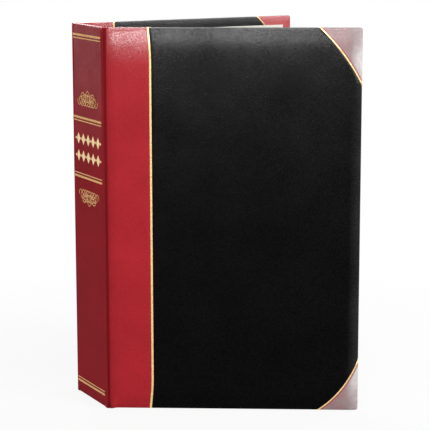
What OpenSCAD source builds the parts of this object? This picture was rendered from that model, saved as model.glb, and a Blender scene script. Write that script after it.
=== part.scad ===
// A ring-bound pocket album with padded leatherette covers. It stands on its
// bottom edges, with its front cover swung open from the spine.
// Millimetres. Z runs up the spine, X from the spine to the fore edge of the
// closed album, and Y from the front cover to the back one. The origin is in the
// middle of the spine board, where it stands.

/* [Album] */
// Height of the covers and spine
album_h = 362; // [345:1:400]
// Width of the closed album, from the spine's outer face to the fore edge
album_w = 238; // [200:1:280]
// Thickness of the closed album, over both covers
album_t = 76; // [70:1:90]
// Angle that the front cover stands open, measured from closed
front_splay = 30; // [0:1:80]

/* [Boards and cloth] */
// Thickness of the cover and spine boards
board_t = 2.6; // [2:0.1:3]
// Thickness of the leatherette
cloth_t = 0.8; // [0.5:0.1:1]
// Thickness of the foam in the middle of a cover
pad_t = 3.4; // [3:0.1:4]
// Width over which the foam rolls off to an edge
roll_w = 20; // [12:1:30]
// Width of the same roll beside the spine joint
joint_roll_w = 8; // [6:1:12]
// How far the padded face drops at an edge
roll_drop = 2.6; // [1.5:0.1:2.8]
// How far the leatherette is turned in behind a board
turn_in = 16; // [12:1:25]
// Thickness of the lining paper
liner_t = 0.5; // [0.3:0.1:0.8]
// Bare border round the lining of a cover
liner_border = 9; // [5:1:11]
// Radius of the long outer edges of the spine
spine_edge_r = 1.5; // [1.2:0.1:2]

/* [Spine joints] */
// Radius of the rolled joint between a cover and the spine
joint_r = 1.5; // [1:0.1:1.6]
// Depth of the joint's centre line behind the outer faces
joint_set = 1.7; // [1.7:0.1:2]
// Gap between the joint and the panels beside it
joint_gap = 0.3; // [0.3:0.1:0.6]
// Gap between the inner face of the spine and the edge of a cover
cover_gap = 0.4; // [0.4:0.1:1]

/* [Coloured strip, corners and gilding] */
// Width of the red strip, from the outer face of the spine
strip_w = 43.5; // [30:0.5:70]
// Length of a red corner along the top or bottom edge
corner_across = 38; // [25:1:60]
// Length of a red corner along the fore edge
corner_down = 50; // [30:1:70]
// Radius of the curve that bounds a corner
corner_r = 130; // [90:1:220]
// Width of the gold line beside the strip
strip_line_w = 2.2; // [1.5:0.1:3.5]
// Width of the gold line along a corner
corner_line_w = 1.6; // [1:0.1:3]
// Height of the gilding over the leatherette
foil_t = 0.2; // [0.1:0.05:0.3]

/* [Spine tooling] */
// Width of a thick gold rule
rule_thick = 2; // [1.2:0.1:3]
// Width of a thin gold rule
rule_thin = 1; // [0.6:0.1:1.5]
// Gap between the two rules of a pair
rule_gap = 1.6; // [1:0.1:3]
// Space between the rules and the front edge of the spine panel
rule_end = 2; // [0:0.5:6]
// Distance from the top of the spine to the upper pair of rules
top_rules = 9; // [6:0.5:20]
// Distance from the top of the spine to the panel between the ornaments
panel_top = 87.5; // [80:0.5:110]
// Height of that panel, over its rules
panel_h = 59; // [52:1:90]
// Distance from the bottom of the spine to the lower pair of rules
foot_rules = 11; // [6:0.5:20]
// Width of a scroll ornament
scroll_w = 47; // [30:1:56]
// Space between a scroll ornament and the rules of the panel
scroll_gap = 11; // [6:0.5:14]
// Breadth of a scroll's gold stroke
stroke_w = 0.8; // [0.7:0.1:1.3]
// Number of lozenges in a row of the panel
lozenges = 5; // [3:1:7]
// Width of the rows of lozenges
row_w = 57; // [30:1:60]
// Height of a lozenge
lozenge_h = 11; // [6:0.5:12]
// Distance between the two rows
row_pitch = 16.5; // [13:0.5:18]

/* [Rings] */
// Diameter of the ring wire
wire_d = 3.2; // [2.6:0.1:3.6]
// Room beside the rings, inside the closed covers
ring_room = 5.3; // [4.5:0.1:8]
// Distance from ring to ring
ring_pitch = 108; // [90:1:115]
// Gap between the tips of a closed ring
tip_gap = 0.3; // [0.3:0.1:0.6]
// Angle that each half ring is thrown open
ring_throw = 12; // [6:1:12]
// Width of the arched base
base_w = 32; // [30:1:34]
// Rise of the arched base
base_rise = 8; // [7.5:0.1:9]
// Steel thickness of the arched base
base_t = 1; // [0.8:0.1:1.2]
// Length of the base past the outer rings
base_end = 37; // [33:1:42]
// Thickness of the two blades in the base
blade_t = 0.8; // [0.6:0.1:1]
// Distance from the middle of the base to the outer edge of a blade
blade_reach = 11.6; // [11:0.1:12]
// Height of the blades' underside over the spine lining
blade_lift = 1.9; // [1.7:0.1:2]
// Distance from the middle of the base to the foot of a half ring
ring_foot = 9.5; // [8:0.1:10.5]
// Clearance round the wires and the blades
ring_clear = 0.6; // [0.4:0.1:0.9]
// Distance from the middle of the spine to a rivet
rivet_off = 124; // [120:1:130]
// Diameter of a rivet's shank
rivet_d = 4; // [3:0.1:5]
// Diameter of a rivet's head
rivet_head_d = 9; // [8:0.5:11]
// Clearance round a rivet's shank
rivet_clear = 0.05; // [0.02:0.01:0.1]

/* [Booster levers] */
// Width of a lever's thumb tab
lever_w = 12; // [10:1:14]
// Height of the thumb tab over its pin
lever_h = 17; // [12:1:22]
// Thickness of the lever
lever_t = 1.6; // [1.2:0.1:2]
// Diameter of a lever's pin
pin_d = 2; // [1.6:0.1:2.4]
// Radius of the lever's hub
hub_r = 2.2; // [2:0.1:2.4]
// Height of the pin over the spine lining
pin_lift = 4.2; // [4:0.1:5]
// Running clearance of the pin in the hub
pin_clear = 0.05; // [0.02:0.01:0.1]

/* [Pocket leaves] */
// Thickness of a pocket leaf
leaf_t = 0.9; // [0.7:0.1:1]
// Gap between neighbouring leaves of the closed album
leaf_gap = 0.6; // [0.4:0.1:0.7]
// Space between the fore edge of the leaves and that of the covers
leaf_fore = 11; // [8:1:20]
// Space above and below the leaves
leaf_end = 12; // [8:1:20]
// Distance from the holes to the bound edge of a leaf
hole_margin = 8.5; // [6.5:0.5:10]
// Radius of a ring hole in a leaf
hole_r = 3.7; // [3.6:0.1:4.2]
// Width of the bound margin, from the holes to the pockets
bound_w = 12; // [8:1:20]
// Width of the seams between the pockets
seam_w = 3; // [2:0.5:5]
// Depth of a pocket below its seams
pocket_d = 0.15; // [0.1:0.05:0.2]
// Number of pockets up each leaf
pockets = 3; // [2:1:4]
// Share of the front cover's angle that the outermost leaf follows
fan_share = 0.82; // [0.5:0.01:0.85]

/* [Hidden] */
$fn = 48;

red = "#8c2028";
black = "#161414";
gold = "#d9a860";
grey_board = "#8f8a80";
foam = "#e6dfc8";
paper = "#d8d6d0";
steel = "#b9bcc0";
film = "#e9ecec";

// Spine: its panel stands between the two joints.
half_t = album_t / 2;
mid_z = album_h / 2;
spine_out = board_t / 2 + cloth_t;
spine_in = spine_out + liner_t;
joint_x = joint_set - spine_out;
joint_y = half_t - joint_set;
spine_half = joint_y - joint_r - joint_gap;
cut = 1; // how far a cutting solid runs past what it cuts

// Covers: u runs from the joint's centre line to the fore edge, v from the outer
// face inwards.
wrap_t = pad_t + board_t + 2 * cloth_t;
cover_t = wrap_t + liner_t;
cover_u0 = spine_in - joint_x + cover_gap;
cover_u1 = album_w - joint_set;
strip_u = strip_w - joint_set;
fore_roll_r = (roll_w * roll_w + roll_drop * roll_drop) / (2 * roll_drop);
joint_roll_r = (joint_roll_w * joint_roll_w + roll_drop * roll_drop) / (2 * roll_drop);

// The corner's curve runs through a point on the top edge and one on the fore edge.
corner_chord = norm([corner_across, corner_down]);
corner_back = sqrt(corner_r * corner_r - corner_chord * corner_chord / 4);
corner_u = cover_u1 - corner_across / 2 - corner_back * corner_down / corner_chord;
corner_z = album_h - corner_down / 2 - corner_back * corner_across / corner_chord;

// Rings: closed, each is a circle round the line x = ring_x, y = 0.
wire_r = wire_d / 2;
ring_r = half_t - cover_t - ring_room - wire_r;
blade_top = spine_in + blade_lift + blade_t;
ring_x = blade_top + sqrt(ring_r * ring_r - ring_foot * ring_foot);
base_r = (base_w * base_w / 4 + base_rise * base_rise) / (2 * base_rise);
base_len = 2 * (ring_pitch + base_end);
base_top = spine_in + base_rise;
ring_zs = [for (k = [-1:1]) mid_z + k * ring_pitch];
rivet_zs = [for (k = [-1, 1]) mid_z + k * rivet_off];

// Levers: each turns on a pin just past the ends of the blades.
pin_x = spine_in + pin_lift;
pin_off = base_len / 2 - hub_r - 1;
blade_len = 2 * (pin_off - hub_r - ring_clear);
ear_t = 1;
ear_gap = 0.3;
toe_w = 3;
toe_t = 1;
toe_len = 2;
toe_lift = 0.4; // height of the toe over the lining
hub_step = 0.25; // how far the lever's flat faces lie inside those of its hub
tab_lean = 15;
tab_bead = 1.6; // diameter of the bead along the tab's edge, in lever thicknesses
blade_gap = 0.35; // from the middle of the base to a blade's inner edge
rivet_rim = 0.7; // height of a rivet's upper head over the arch
rivet_crown = 1.3;
rivet_crown_share = 0.7; // diameter of the crown, in head diameters

// Leaves: eight hang on the front half rings and eight on the back ones.
leaf_n = 8;
leaf_pitch = leaf_t + leaf_gap;
leaf_h = album_h - 2 * leaf_end;
leaf_fore_x = album_w - spine_out - leaf_fore - ring_x;

// Outline of a padded board, n long and from v = 0 outside to wrap_t inside, set in
// by d. It rolls off over w0 at its near end and w1 at its far end.
module rolled_outline(n, w0, r0, w1, r1, d) {
  translate([w0, d]) square([n - w0 - w1, wrap_t - 2 * d]);
  intersection() {
    translate([w0, r0]) circle(r = r0 - d, $fn = 180);
    translate([d, 0]) square([w0 - d + 0.01, wrap_t - d]);
  }
  intersection() {
    translate([n - w1, r1]) circle(r = r1 - d, $fn = 180);
    translate([n - w1 - 0.01, 0]) square([w1 - d + 0.01, wrap_t - d]);
  }
}

// Padded form of a cover, set in by d on every side.
module cover_form(d) {
  n = cover_u1 - cover_u0;
  intersection() {
    translate([cover_u0, -joint_set, d]) linear_extrude(album_h - 2 * d)
      rolled_outline(n, joint_roll_w, joint_roll_r, roll_w, fore_roll_r, d);
    translate([cover_u1 - d, -joint_set, 0]) rotate([0, -90, 0]) linear_extrude(n - 2 * d)
      rolled_outline(album_h, roll_w, fore_roll_r, roll_w, fore_roll_r, d);
  }
}

// A slab of the cover, from v0 to v1 behind the outer face, with border b.
module cover_slab(b, v0, v1) {
  translate([cover_u0 + b, v0 - joint_set, b])
    cube([cover_u1 - cover_u0 - 2 * b, v1 - v0, album_h - 2 * b]);
}

// Runs a flat shape, drawn in u and z, right through the cover.
module through_cover() {
  translate([0, cover_t + cut, 0]) rotate([90, 0, 0]) linear_extrude(2 * (cover_t + cut)) children();
}

module strip_zone(grow) {
  translate([0, -cut]) square([strip_u + grow, album_h + 2 * cut]);
}

// Zone of the upper corner, with its curve moved out by grow.
module corner_zone(grow) {
  difference() {
    translate([corner_u, corner_z]) square([cover_u1 - corner_u + cut, album_h - corner_z + cut]);
    translate([corner_u, corner_z]) circle(r = corner_r + grow, $fn = 360);
  }
}

module both_corner_zones(grow) {
  corner_zone(grow);
  translate([0, album_h]) mirror([0, 1]) corner_zone(grow);
}

module cover_cloth() {
  difference() {
    cover_form(0);
    cover_form(cloth_t);
    cover_slab(turn_in, wrap_t - cloth_t - cut, wrap_t + cut);
  }
}

// A cover piece drawn closed in the joint's frame goes to its place: side is -1 for
// the front and 1 for the back.
module place_cover(side) {
  angle = side < 0 ? -front_splay : 0;
  translate([joint_x, side * joint_y, 0]) rotate([0, 0, angle])
    mirror([0, side > 0 ? 1 : 0, 0]) children();
}

module cover_board(side) {
  color(grey_board) place_cover(side)
    cover_slab(cloth_t, wrap_t - cloth_t - board_t, wrap_t - cloth_t);
}

module cover_padding(side) {
  color(foam) place_cover(side) intersection() {
    cover_form(cloth_t);
    cover_slab(0, 0, wrap_t - cloth_t - board_t);
  }
}

module cover_field(side) {
  color(black) place_cover(side) difference() {
    cover_cloth();
    through_cover() strip_zone(0);
    through_cover() both_corner_zones(0);
  }
}

// The red strip runs on as a flap, up to the joint.
module cover_strip(side) {
  flap_u = joint_r + joint_gap;
  color(red) place_cover(side) {
    intersection() {
      cover_cloth();
      through_cover() strip_zone(0);
    }
    translate([flap_u, -cloth_t / 2, 0]) cube([cover_u0 + cloth_t - flap_u, cloth_t, album_h]);
  }
}

module cover_corner(side, top) {
  color(red) place_cover(side) intersection() {
    cover_cloth();
    through_cover() translate([0, top ? 0 : album_h]) mirror([0, top ? 0 : 1]) corner_zone(0);
  }
}

// Gold lines over the seams of the leatherette. They run round the edges as far as
// the lining.
module cover_gilding(side) {
  color(gold) place_cover(side) difference() {
    intersection() {
      cover_form(-foil_t);
      through_cover() {
        difference() {
          strip_zone(strip_line_w / 2);
          strip_zone(-strip_line_w / 2);
        }
        difference() {
          both_corner_zones(-corner_line_w / 2);
          both_corner_zones(corner_line_w / 2);
        }
      }
    }
    cover_form(0);
    cover_slab(liner_border - joint_gap, wrap_t - cut, wrap_t + cut);
    translate([0, -joint_set - cut, -cut]) cube([cover_u1 + cut, cover_t + 2 * cut, cut]);
  }
}

module cover_lining(side) {
  color(paper) place_cover(side) {
    cover_slab(liner_border, wrap_t, cover_t);
    cover_slab(turn_in, wrap_t - cloth_t, wrap_t + liner_t / 2);
  }
}

// Form of the spine panel, set in by d on every side.
module spine_form(d) {
  r = spine_edge_r - d;
  translate([0, 0, d]) linear_extrude(album_h - 2 * d) {
    translate([-spine_out + spine_edge_r, -spine_half + d])
      square([2 * spine_out - spine_edge_r - d, 2 * (spine_half - d)]);
    translate([-spine_out + d, -spine_half + spine_edge_r])
      square([spine_edge_r, 2 * (spine_half - spine_edge_r)]);
    for (k = [-1, 1]) translate([-spine_out + spine_edge_r, k * (spine_half - spine_edge_r)]) circle(r = r);
  }
}

module spine_window(b, x0, x1) {
  translate([x0, -spine_half + b, b]) cube([x1 - x0, 2 * (spine_half - b), album_h - 2 * b]);
}

module rivet_holes(x0, x1) {
  for (z = rivet_zs) translate([x0, 0, z]) rotate([0, 90, 0])
    cylinder(d = rivet_d + 2 * rivet_clear, h = x1 - x0);
}

module spine_board() {
  color(grey_board) difference() {
    spine_form(cloth_t);
    rivet_holes(-spine_out, spine_in);
    for (z = rivet_zs) translate([-spine_out, 0, z]) rotate([0, 90, 0])
      cylinder(d = rivet_head_d + 2 * rivet_clear, h = cloth_t + board_t / 2);
  }
}

module spine_cloth() {
  color(red) difference() {
    spine_form(0);
    spine_form(cloth_t);
    spine_window(turn_in, board_t / 2 - cut, spine_out + cut);
  }
}

module spine_lining() {
  color(paper) difference() {
    union() {
      spine_window(liner_border / 3, spine_out, spine_in);
      spine_window(turn_in, board_t / 2, spine_in);
    }
    rivet_holes(-spine_out, spine_in + cut);
  }
}

// A bar of gilding across the spine, z0 being its lower edge.
module rule(z0, w) {
  translate([-spine_out - foil_t, -spine_half + rule_end + spine_edge_r, z0])
    cube([foil_t, 2 * (spine_half - spine_edge_r) - rule_end, w]);
}

// A thick and a thin rule, the thick one above or below.
module rule_pair(z0, thick_above) {
  rule(z0 + (thick_above ? rule_thin + rule_gap : 0), rule_thick);
  rule(z0 + (thick_above ? 0 : rule_thick + rule_gap), rule_thin);
}

pair_h = rule_thick + rule_gap + rule_thin;
curl_bead = 0.9; // radius of the bead that ends a curl, in stroke widths
lozenge_share = 0.7; // width of a lozenge, in steps of its row
dot_share = 0.1; // radius of the dots beside it, in the same steps

module spine_rules() {
  color(gold) {
    rule_pair(album_h - top_rules - pair_h, true);
    rule_pair(album_h - panel_top - pair_h, true);
    rule_pair(album_h - panel_top - panel_h, false);
    rule_pair(foot_rules, false);
  }
}

// Draws a flat shape on the spine: its x runs across the spine as the reader sees
// it, and its y up.
module on_spine(z) {
  translate([-spine_out, 0, z]) rotate([90, 0, -90]) children();
}

// An arc of a stroke of gilding, from angle a0 through a.
module stroke(r, a0, a) {
  rotate([0, 0, a0]) rotate_extrude(angle = a) translate([r - stroke_w / 2, 0]) square([stroke_w, foil_t]);
}

module bead(r) {
  cylinder(r = r, h = foil_t);
}

// A stroke that ends in a bead at its first angle.
module curl(r, a0, a) {
  stroke(r, a0, a);
  rotate([0, 0, a0]) translate([r, 0, 0]) bead(curl_bead * stroke_w);
}

// Half of a scroll ornament, in units of s: a pointed arch in the middle, laced
// rings, a large loop beside them, an end that turns up, and lobes along the foot.
module scroll_half(s) {
  translate([-0.8 * s, 1.1 * s, 0]) stroke(3 * s, -25, 99.5);
  translate([1.6 * s, 0.2 * s, 0]) stroke(1.7 * s, 0, 360);
  translate([3.4 * s, 0.6 * s, 0]) stroke(1.7 * s, 0, 360);
  translate([5.7 * s, 0.8 * s, 0]) stroke(2.1 * s, -100, 275);
  translate([5.9 * s, 0.5 * s, 0]) curl(s, 40, 250);
  translate([8.1 * s, -0.6 * s, 0]) stroke(1.6 * s, -70, 235);
  translate([9.75 * s, -1.1 * s, 0]) stroke(1.95 * s, 175, 205);
  for (k = [0:2]) translate([(1.3 + 2.6 * k) * s, -2 * s, 0]) stroke(1.3 * s, 180, 180);
  for (k = [1, 2]) translate([2.6 * k * s, -1.1 * s, 0]) stroke(1.1 * s, 0, 360);
  translate([2.6 * s, -1.1 * s, 0]) bead(0.45 * s);
}

module scroll(s) {
  scroll_half(s);
  mirror([1, 0, 0]) scroll_half(s);
  translate([0, 2 * s, 0]) bead(0.5 * s);
  translate([0, -0.9 * s, 0]) bead(0.6 * s);
}

scroll_unit = scroll_w / 23.9;
scroll_up = 3.3 * scroll_unit;

module spine_scrolls() {
  color(gold) {
    on_spine(album_h - panel_top + scroll_gap + scroll_up) scroll(scroll_unit);
    on_spine(album_h - panel_top - panel_h - scroll_gap - scroll_up) mirror([0, 1, 0]) scroll(scroll_unit);
  }
}

module lozenge(w, h) {
  linear_extrude(foil_t) polygon([[-w / 2, 0], [0, -h / 2], [w / 2, 0], [0, h / 2]]);
}

module lozenge_row() {
  step = row_w / lozenges;
  for (k = [0:lozenges - 1])
    translate([(k + 0.5) * step - row_w / 2, 0, 0]) lozenge(lozenge_share * step, lozenge_h);
  for (k = [0:lozenges]) translate([k * step - row_w / 2, 0, 0]) bead(dot_share * step);
}

module spine_lozenges() {
  color(gold) for (k = [-1, 1])
    on_spine(album_h - panel_top - panel_h / 2 + k * row_pitch / 2) lozenge_row();
}

module joint_roll(side) {
  color(red) translate([joint_x, side * joint_y, 0]) cylinder(r = joint_r, h = album_h);
}

// The base is an arch of sheet steel, with slots for the half rings, ears for the
// lever pins and a notch at each end for the lever.
module base_solid(r) {
  intersection() {
    translate([base_top - base_r, 0, mid_z - base_len / 2]) cylinder(r = r, h = base_len, $fn = 180);
    translate([spine_in, -base_w, mid_z - base_len]) cube([base_rise + cut, 2 * base_w, 2 * base_len]);
  }
}

module notch(w, l) {
  translate([0, -w / 2, -l / 2]) cube([base_rise + cut, w, l]);
}

module ring_base() {
  slot_w = wire_d + 2 * ring_clear;
  slot_y = ring_foot - wire_d;
  notch_l = 2 * hub_r + 1 + ring_clear;
  color(steel) {
    difference() {
      base_solid(base_r);
      base_solid(base_r - base_t);
      for (z = ring_zs, k = [-1, 1])
        translate([spine_in - cut, k * (slot_y + base_w / 2) - base_w / 2, z - slot_w / 2])
          cube([base_rise + 2 * cut, base_w, slot_w]);
      for (z = rivet_zs) translate([spine_in, 0, z]) rotate([0, 90, 0])
        cylinder(d = rivet_d + 2 * rivet_clear, h = base_rise + cut);
      for (k = [-1, 1])
        translate([spine_in, 0, mid_z + k * (base_len - notch_l + cut) / 2])
          notch(lever_w + 2 * ear_gap, notch_l + cut);
    }
    for (k = [-1, 1], m = [-1, 1]) ear(k, m);
  }
}

// An ear stands on the lining beside the lever, under the arch, and holds the pin.
module ear(k, m) {
  y0 = lever_w / 2 + ear_gap;
  z = mid_z + k * pin_off;
  difference() {
    intersection() {
      translate([spine_in, m > 0 ? y0 : -y0 - ear_t, z - hub_r])
        cube([base_rise, ear_t, 2 * hub_r]);
      base_solid(base_r);
    }
    translate([pin_x, 0, z]) rotate([90, 0, 0]) cylinder(d = pin_d, h = 2 * lever_w, center = true);
  }
}

module lever_pins() {
  color(steel) for (k = [-1, 1]) translate([pin_x, 0, mid_z + k * pin_off]) rotate([90, 0, 0])
    cylinder(d = pin_d, h = lever_w + 2 * (ear_gap + ear_t), center = true);
}

// A rivet's lower head lies in the spine board, under the cloth, and its upper head
// on the arch.
module ring_rivets() {
  color(steel) for (z = rivet_zs) translate([0, 0, z]) rotate([0, 90, 0]) {
    translate([0, 0, -board_t / 2]) cylinder(d = rivet_head_d, h = board_t / 2);
    translate([0, 0, -board_t / 2]) cylinder(d = rivet_d, h = base_top + board_t / 2);
  }
  color(steel) difference() {
    for (z = rivet_zs) translate([base_top - base_t, 0, z]) rotate([0, 90, 0]) {
      cylinder(d = rivet_head_d, h = base_t + rivet_rim);
      cylinder(d = rivet_crown_share * rivet_head_d, h = base_t + rivet_crown);
    }
    base_solid(base_r);
  }
}

// A blade lies flat in the base when the rings are closed.
module blade(side) {
  color(steel) difference() {
    translate([spine_in + blade_lift, side > 0 ? blade_gap : -blade_reach, mid_z - blade_len / 2])
      cube([blade_t, blade_reach - blade_gap, blade_len]);
    for (z = rivet_zs) translate([spine_in, 0, z]) rotate([0, 90, 0])
      cylinder(r = rivet_d / 2 + 2 * ring_clear, h = base_rise);
  }
}

module half_rings(side) {
  tip = asin(tip_gap / 2 / ring_r);
  foot = 170;
  color(steel) for (z = ring_zs) difference() {
    translate([ring_x, 0, z]) rotate([0, 0, side > 0 ? tip : -foot]) rotate_extrude(angle = foot - tip)
      translate([ring_r, 0]) circle(r = wire_r);
    translate([blade_top - 2 * wire_d, -base_w / 2, z - wire_d]) cube([2 * wire_d, base_w, 2 * wire_d]);
  }
}

// A lever has a hub on its pin, a thumb tab that leans outwards and a toe under the
// blades. It is drawn for the top end.
module lever(k) {
  color(steel) translate([pin_x, 0, mid_z + k * pin_off]) mirror([0, 0, k < 0 ? 1 : 0]) difference() {
    union() {
      rotate([90, 0, 0]) cylinder(r = hub_r, h = lever_w, center = true);
      rotate([0, -tab_lean, 0]) {
        translate([0, hub_step - lever_w / 2, hub_r - hub_step - lever_t])
          cube([lever_h, lever_w - 2 * hub_step, lever_t]);
        translate([lever_h, 0, hub_r - hub_step - lever_t / 2]) rotate([90, 0, 0])
          cylinder(d = tab_bead * lever_t, h = lever_w, center = true);
      }
      translate([toe_lift - pin_lift, -toe_w / 2, -hub_r - ring_clear - toe_len])
        cube([toe_t, toe_w, hub_r + ring_clear + toe_len]);
      translate([toe_lift - pin_lift, -toe_w / 2, hub_step - hub_r])
        cube([pin_lift - toe_lift, toe_w, hub_r - hub_step]);
    }
    rotate([90, 0, 0]) cylinder(d = pin_d + 2 * pin_clear, h = lever_w + cut, center = true);
  }
}

// Leaf i of a side, counted from the middle. Its holes lie on the ring, and it has
// pockets on both faces that open at the fore edge.
module leaf(side, i) {
  y0 = (i + 0.5) * leaf_pitch;
  hole_x = sqrt(ring_r * ring_r - y0 * y0);
  x0 = hole_x - hole_margin;
  x1 = leaf_fore_x;
  px = hole_x + bound_w;
  pocket_h = (leaf_h - (pockets + 1) * seam_w) / pockets;
  turn = side < 0 ? -front_splay * fan_share * i / (leaf_n - 1) : 0;
  color(film) translate([ring_x, 0, 0]) rotate([0, 0, turn]) mirror([0, side < 0 ? 1 : 0, 0]) difference() {
    translate([x0, y0 - leaf_t / 2, leaf_end]) cube([x1 - x0, leaf_t, leaf_h]);
    for (z = ring_zs) translate([hole_x, y0, z]) rotate([90, 0, 0])
      cylinder(r = hole_r, h = 2 * leaf_t, center = true);
    for (k = [0:pockets - 1], v = [-1, 1])
      translate([px, y0 + v * leaf_t / 2 - pocket_d, leaf_end + seam_w + k * (pocket_h + seam_w)])
        cube([x1 - px + cut, 2 * pocket_d, pocket_h]);
  }
}

spine_board();
spine_cloth();
spine_lining();
spine_rules();
spine_scrolls();
spine_lozenges();
joint_roll(-1);  // front_joint
joint_roll(1);  // back_joint
cover_board(-1);  // front_board
cover_padding(-1);  // front_padding
cover_field(-1);  // front_field
cover_strip(-1);  // front_strip
cover_corner(-1, true);  // front_corner_top
cover_corner(-1, false);  // front_corner_bottom
cover_gilding(-1);  // front_gilding
cover_lining(-1);  // front_lining
cover_board(1);  // back_board
cover_padding(1);  // back_padding
cover_field(1);  // back_field
cover_strip(1);  // back_strip
cover_corner(1, true);  // back_corner_top
cover_corner(1, false);  // back_corner_bottom
cover_gilding(1);  // back_gilding
cover_lining(1);  // back_lining
ring_base();
ring_rivets();
lever_pins();
blade(-1);  // front_blade
blade(1);  // back_blade
half_rings(-1);  // front_half_rings
half_rings(1);  // back_half_rings
lever(1);  // lever_top
lever(-1);  // lever_bottom
leaf(-1, 0);  // front_leaf_1
leaf(-1, 1);  // front_leaf_2
leaf(-1, 2);  // front_leaf_3
leaf(-1, 3);  // front_leaf_4
leaf(-1, 4);  // front_leaf_5
leaf(-1, 5);  // front_leaf_6
leaf(-1, 6);  // front_leaf_7
leaf(-1, 7);  // front_leaf_8
leaf(1, 0);  // back_leaf_1
leaf(1, 1);  // back_leaf_2
leaf(1, 2);  // back_leaf_3
leaf(1, 3);  // back_leaf_4
leaf(1, 4);  // back_leaf_5
leaf(1, 5);  // back_leaf_6
leaf(1, 6);  // back_leaf_7
leaf(1, 7);  // back_leaf_8
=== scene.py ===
import math

import bmesh
import bpy
import numpy as np
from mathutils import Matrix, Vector


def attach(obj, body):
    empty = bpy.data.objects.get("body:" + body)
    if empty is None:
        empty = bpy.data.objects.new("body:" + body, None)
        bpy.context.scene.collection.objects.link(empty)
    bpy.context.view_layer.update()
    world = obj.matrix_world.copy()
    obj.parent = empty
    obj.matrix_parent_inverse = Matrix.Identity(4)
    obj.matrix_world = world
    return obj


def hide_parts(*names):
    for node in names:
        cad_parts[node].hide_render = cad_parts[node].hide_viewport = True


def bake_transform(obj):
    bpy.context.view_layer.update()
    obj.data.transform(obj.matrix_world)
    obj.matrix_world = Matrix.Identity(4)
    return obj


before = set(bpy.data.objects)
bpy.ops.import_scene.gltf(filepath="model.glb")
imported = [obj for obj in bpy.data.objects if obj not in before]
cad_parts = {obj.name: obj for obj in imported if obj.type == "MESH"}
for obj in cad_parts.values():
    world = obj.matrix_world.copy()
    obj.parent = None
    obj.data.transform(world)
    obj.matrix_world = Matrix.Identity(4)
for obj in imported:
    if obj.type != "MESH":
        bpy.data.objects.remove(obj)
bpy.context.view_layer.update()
scene = bpy.context.scene
mm = 0.001
print("frame loaded,", len(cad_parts), "nodes")

# The camera is fitted to the corners of the front cover and the spine.
camera = {"place": (-0.6247, -1.4392, 0.4710), "turn": (1.3878, 0.0014, -0.4849), "lens": 139.7,
          "sensor": 36.0, "near": 0.05, "far": 60.0}

lensData = bpy.data.cameras.new("camera")
lensData.lens, lensData.sensor_width = camera["lens"], camera["sensor"]
lensData.clip_start, lensData.clip_end = camera["near"], camera["far"]
cameraObject = bpy.data.objects.new("camera", lensData)
scene.collection.objects.link(cameraObject)
cameraObject.location, cameraObject.rotation_euler = camera["place"], camera["turn"]
scene.camera = cameraObject
scene.view_settings.view_transform = "Standard"
print("camera set")


def linearColour(hexCode):  # sRGB hex to linear RGBA
    c = np.array([int(hexCode[i:i + 2], 16) for i in (1, 3, 5)]) / 255
    c = np.where(c <= 0.04045, c / 12.92, ((c + 0.055) / 1.055) ** 2.4)
    return (*[float(x) for x in c], 1.0)


def addNode(tree, kind, inputs=None, **settings):  # one node with its settings, values and links
    node = tree.nodes.new("ShaderNode" + kind)
    for key, value in settings.items():
        setattr(node, key, value)
    for key, value in (inputs or {}).items():
        if isinstance(value, bpy.types.NodeSocket):
            tree.links.new(value, node.inputs[key])
        else:
            node.inputs[key].default_value = value
    return node


def newMaterial(name):  # an empty material, its tree and its output node
    made = bpy.data.materials.new(name)
    made.use_nodes = True
    made.node_tree.nodes.clear()
    return made, made.node_tree, addNode(made.node_tree, "OutputMaterial")


noiseSpan = {"From Min": 0.3, "From Max": 0.7}     # nearly all of a noise texture lies in here
fleckSpan = {"From Min": 0.35, "From Max": 0.65}   # the same, with more contrast

# Leatherette is PVC on cloth, embossed by a hot roller: shallow pebbles about a
# millimetre wide, a satin skin, darker in the creases of the grain. The attribute
# burnish says where it is stretched over an edge and shines. The other two say where a
# painted glare greys and whitens the skin, and where painted shade darkens it deep in
# a groove. Sizes are in mm.
grain = {"fine": 0.35, "fineShare": 0.35, "rounding": 0.75, "tops": 1.8, "patches": 45.0, "glareStreaks": 9.0,
         "height": 0.10, "glitter": 1.6, "creaseShade": 0.45}
# Colours and coat of the painted glare on the corners.
glareLook = {"glareGrey": "#978485", "glareWhite": "#cfcac9", "glareGreyAt": 0.5, "coatLeft": 0.15, "coatGoneAt": 0.6}


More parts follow.
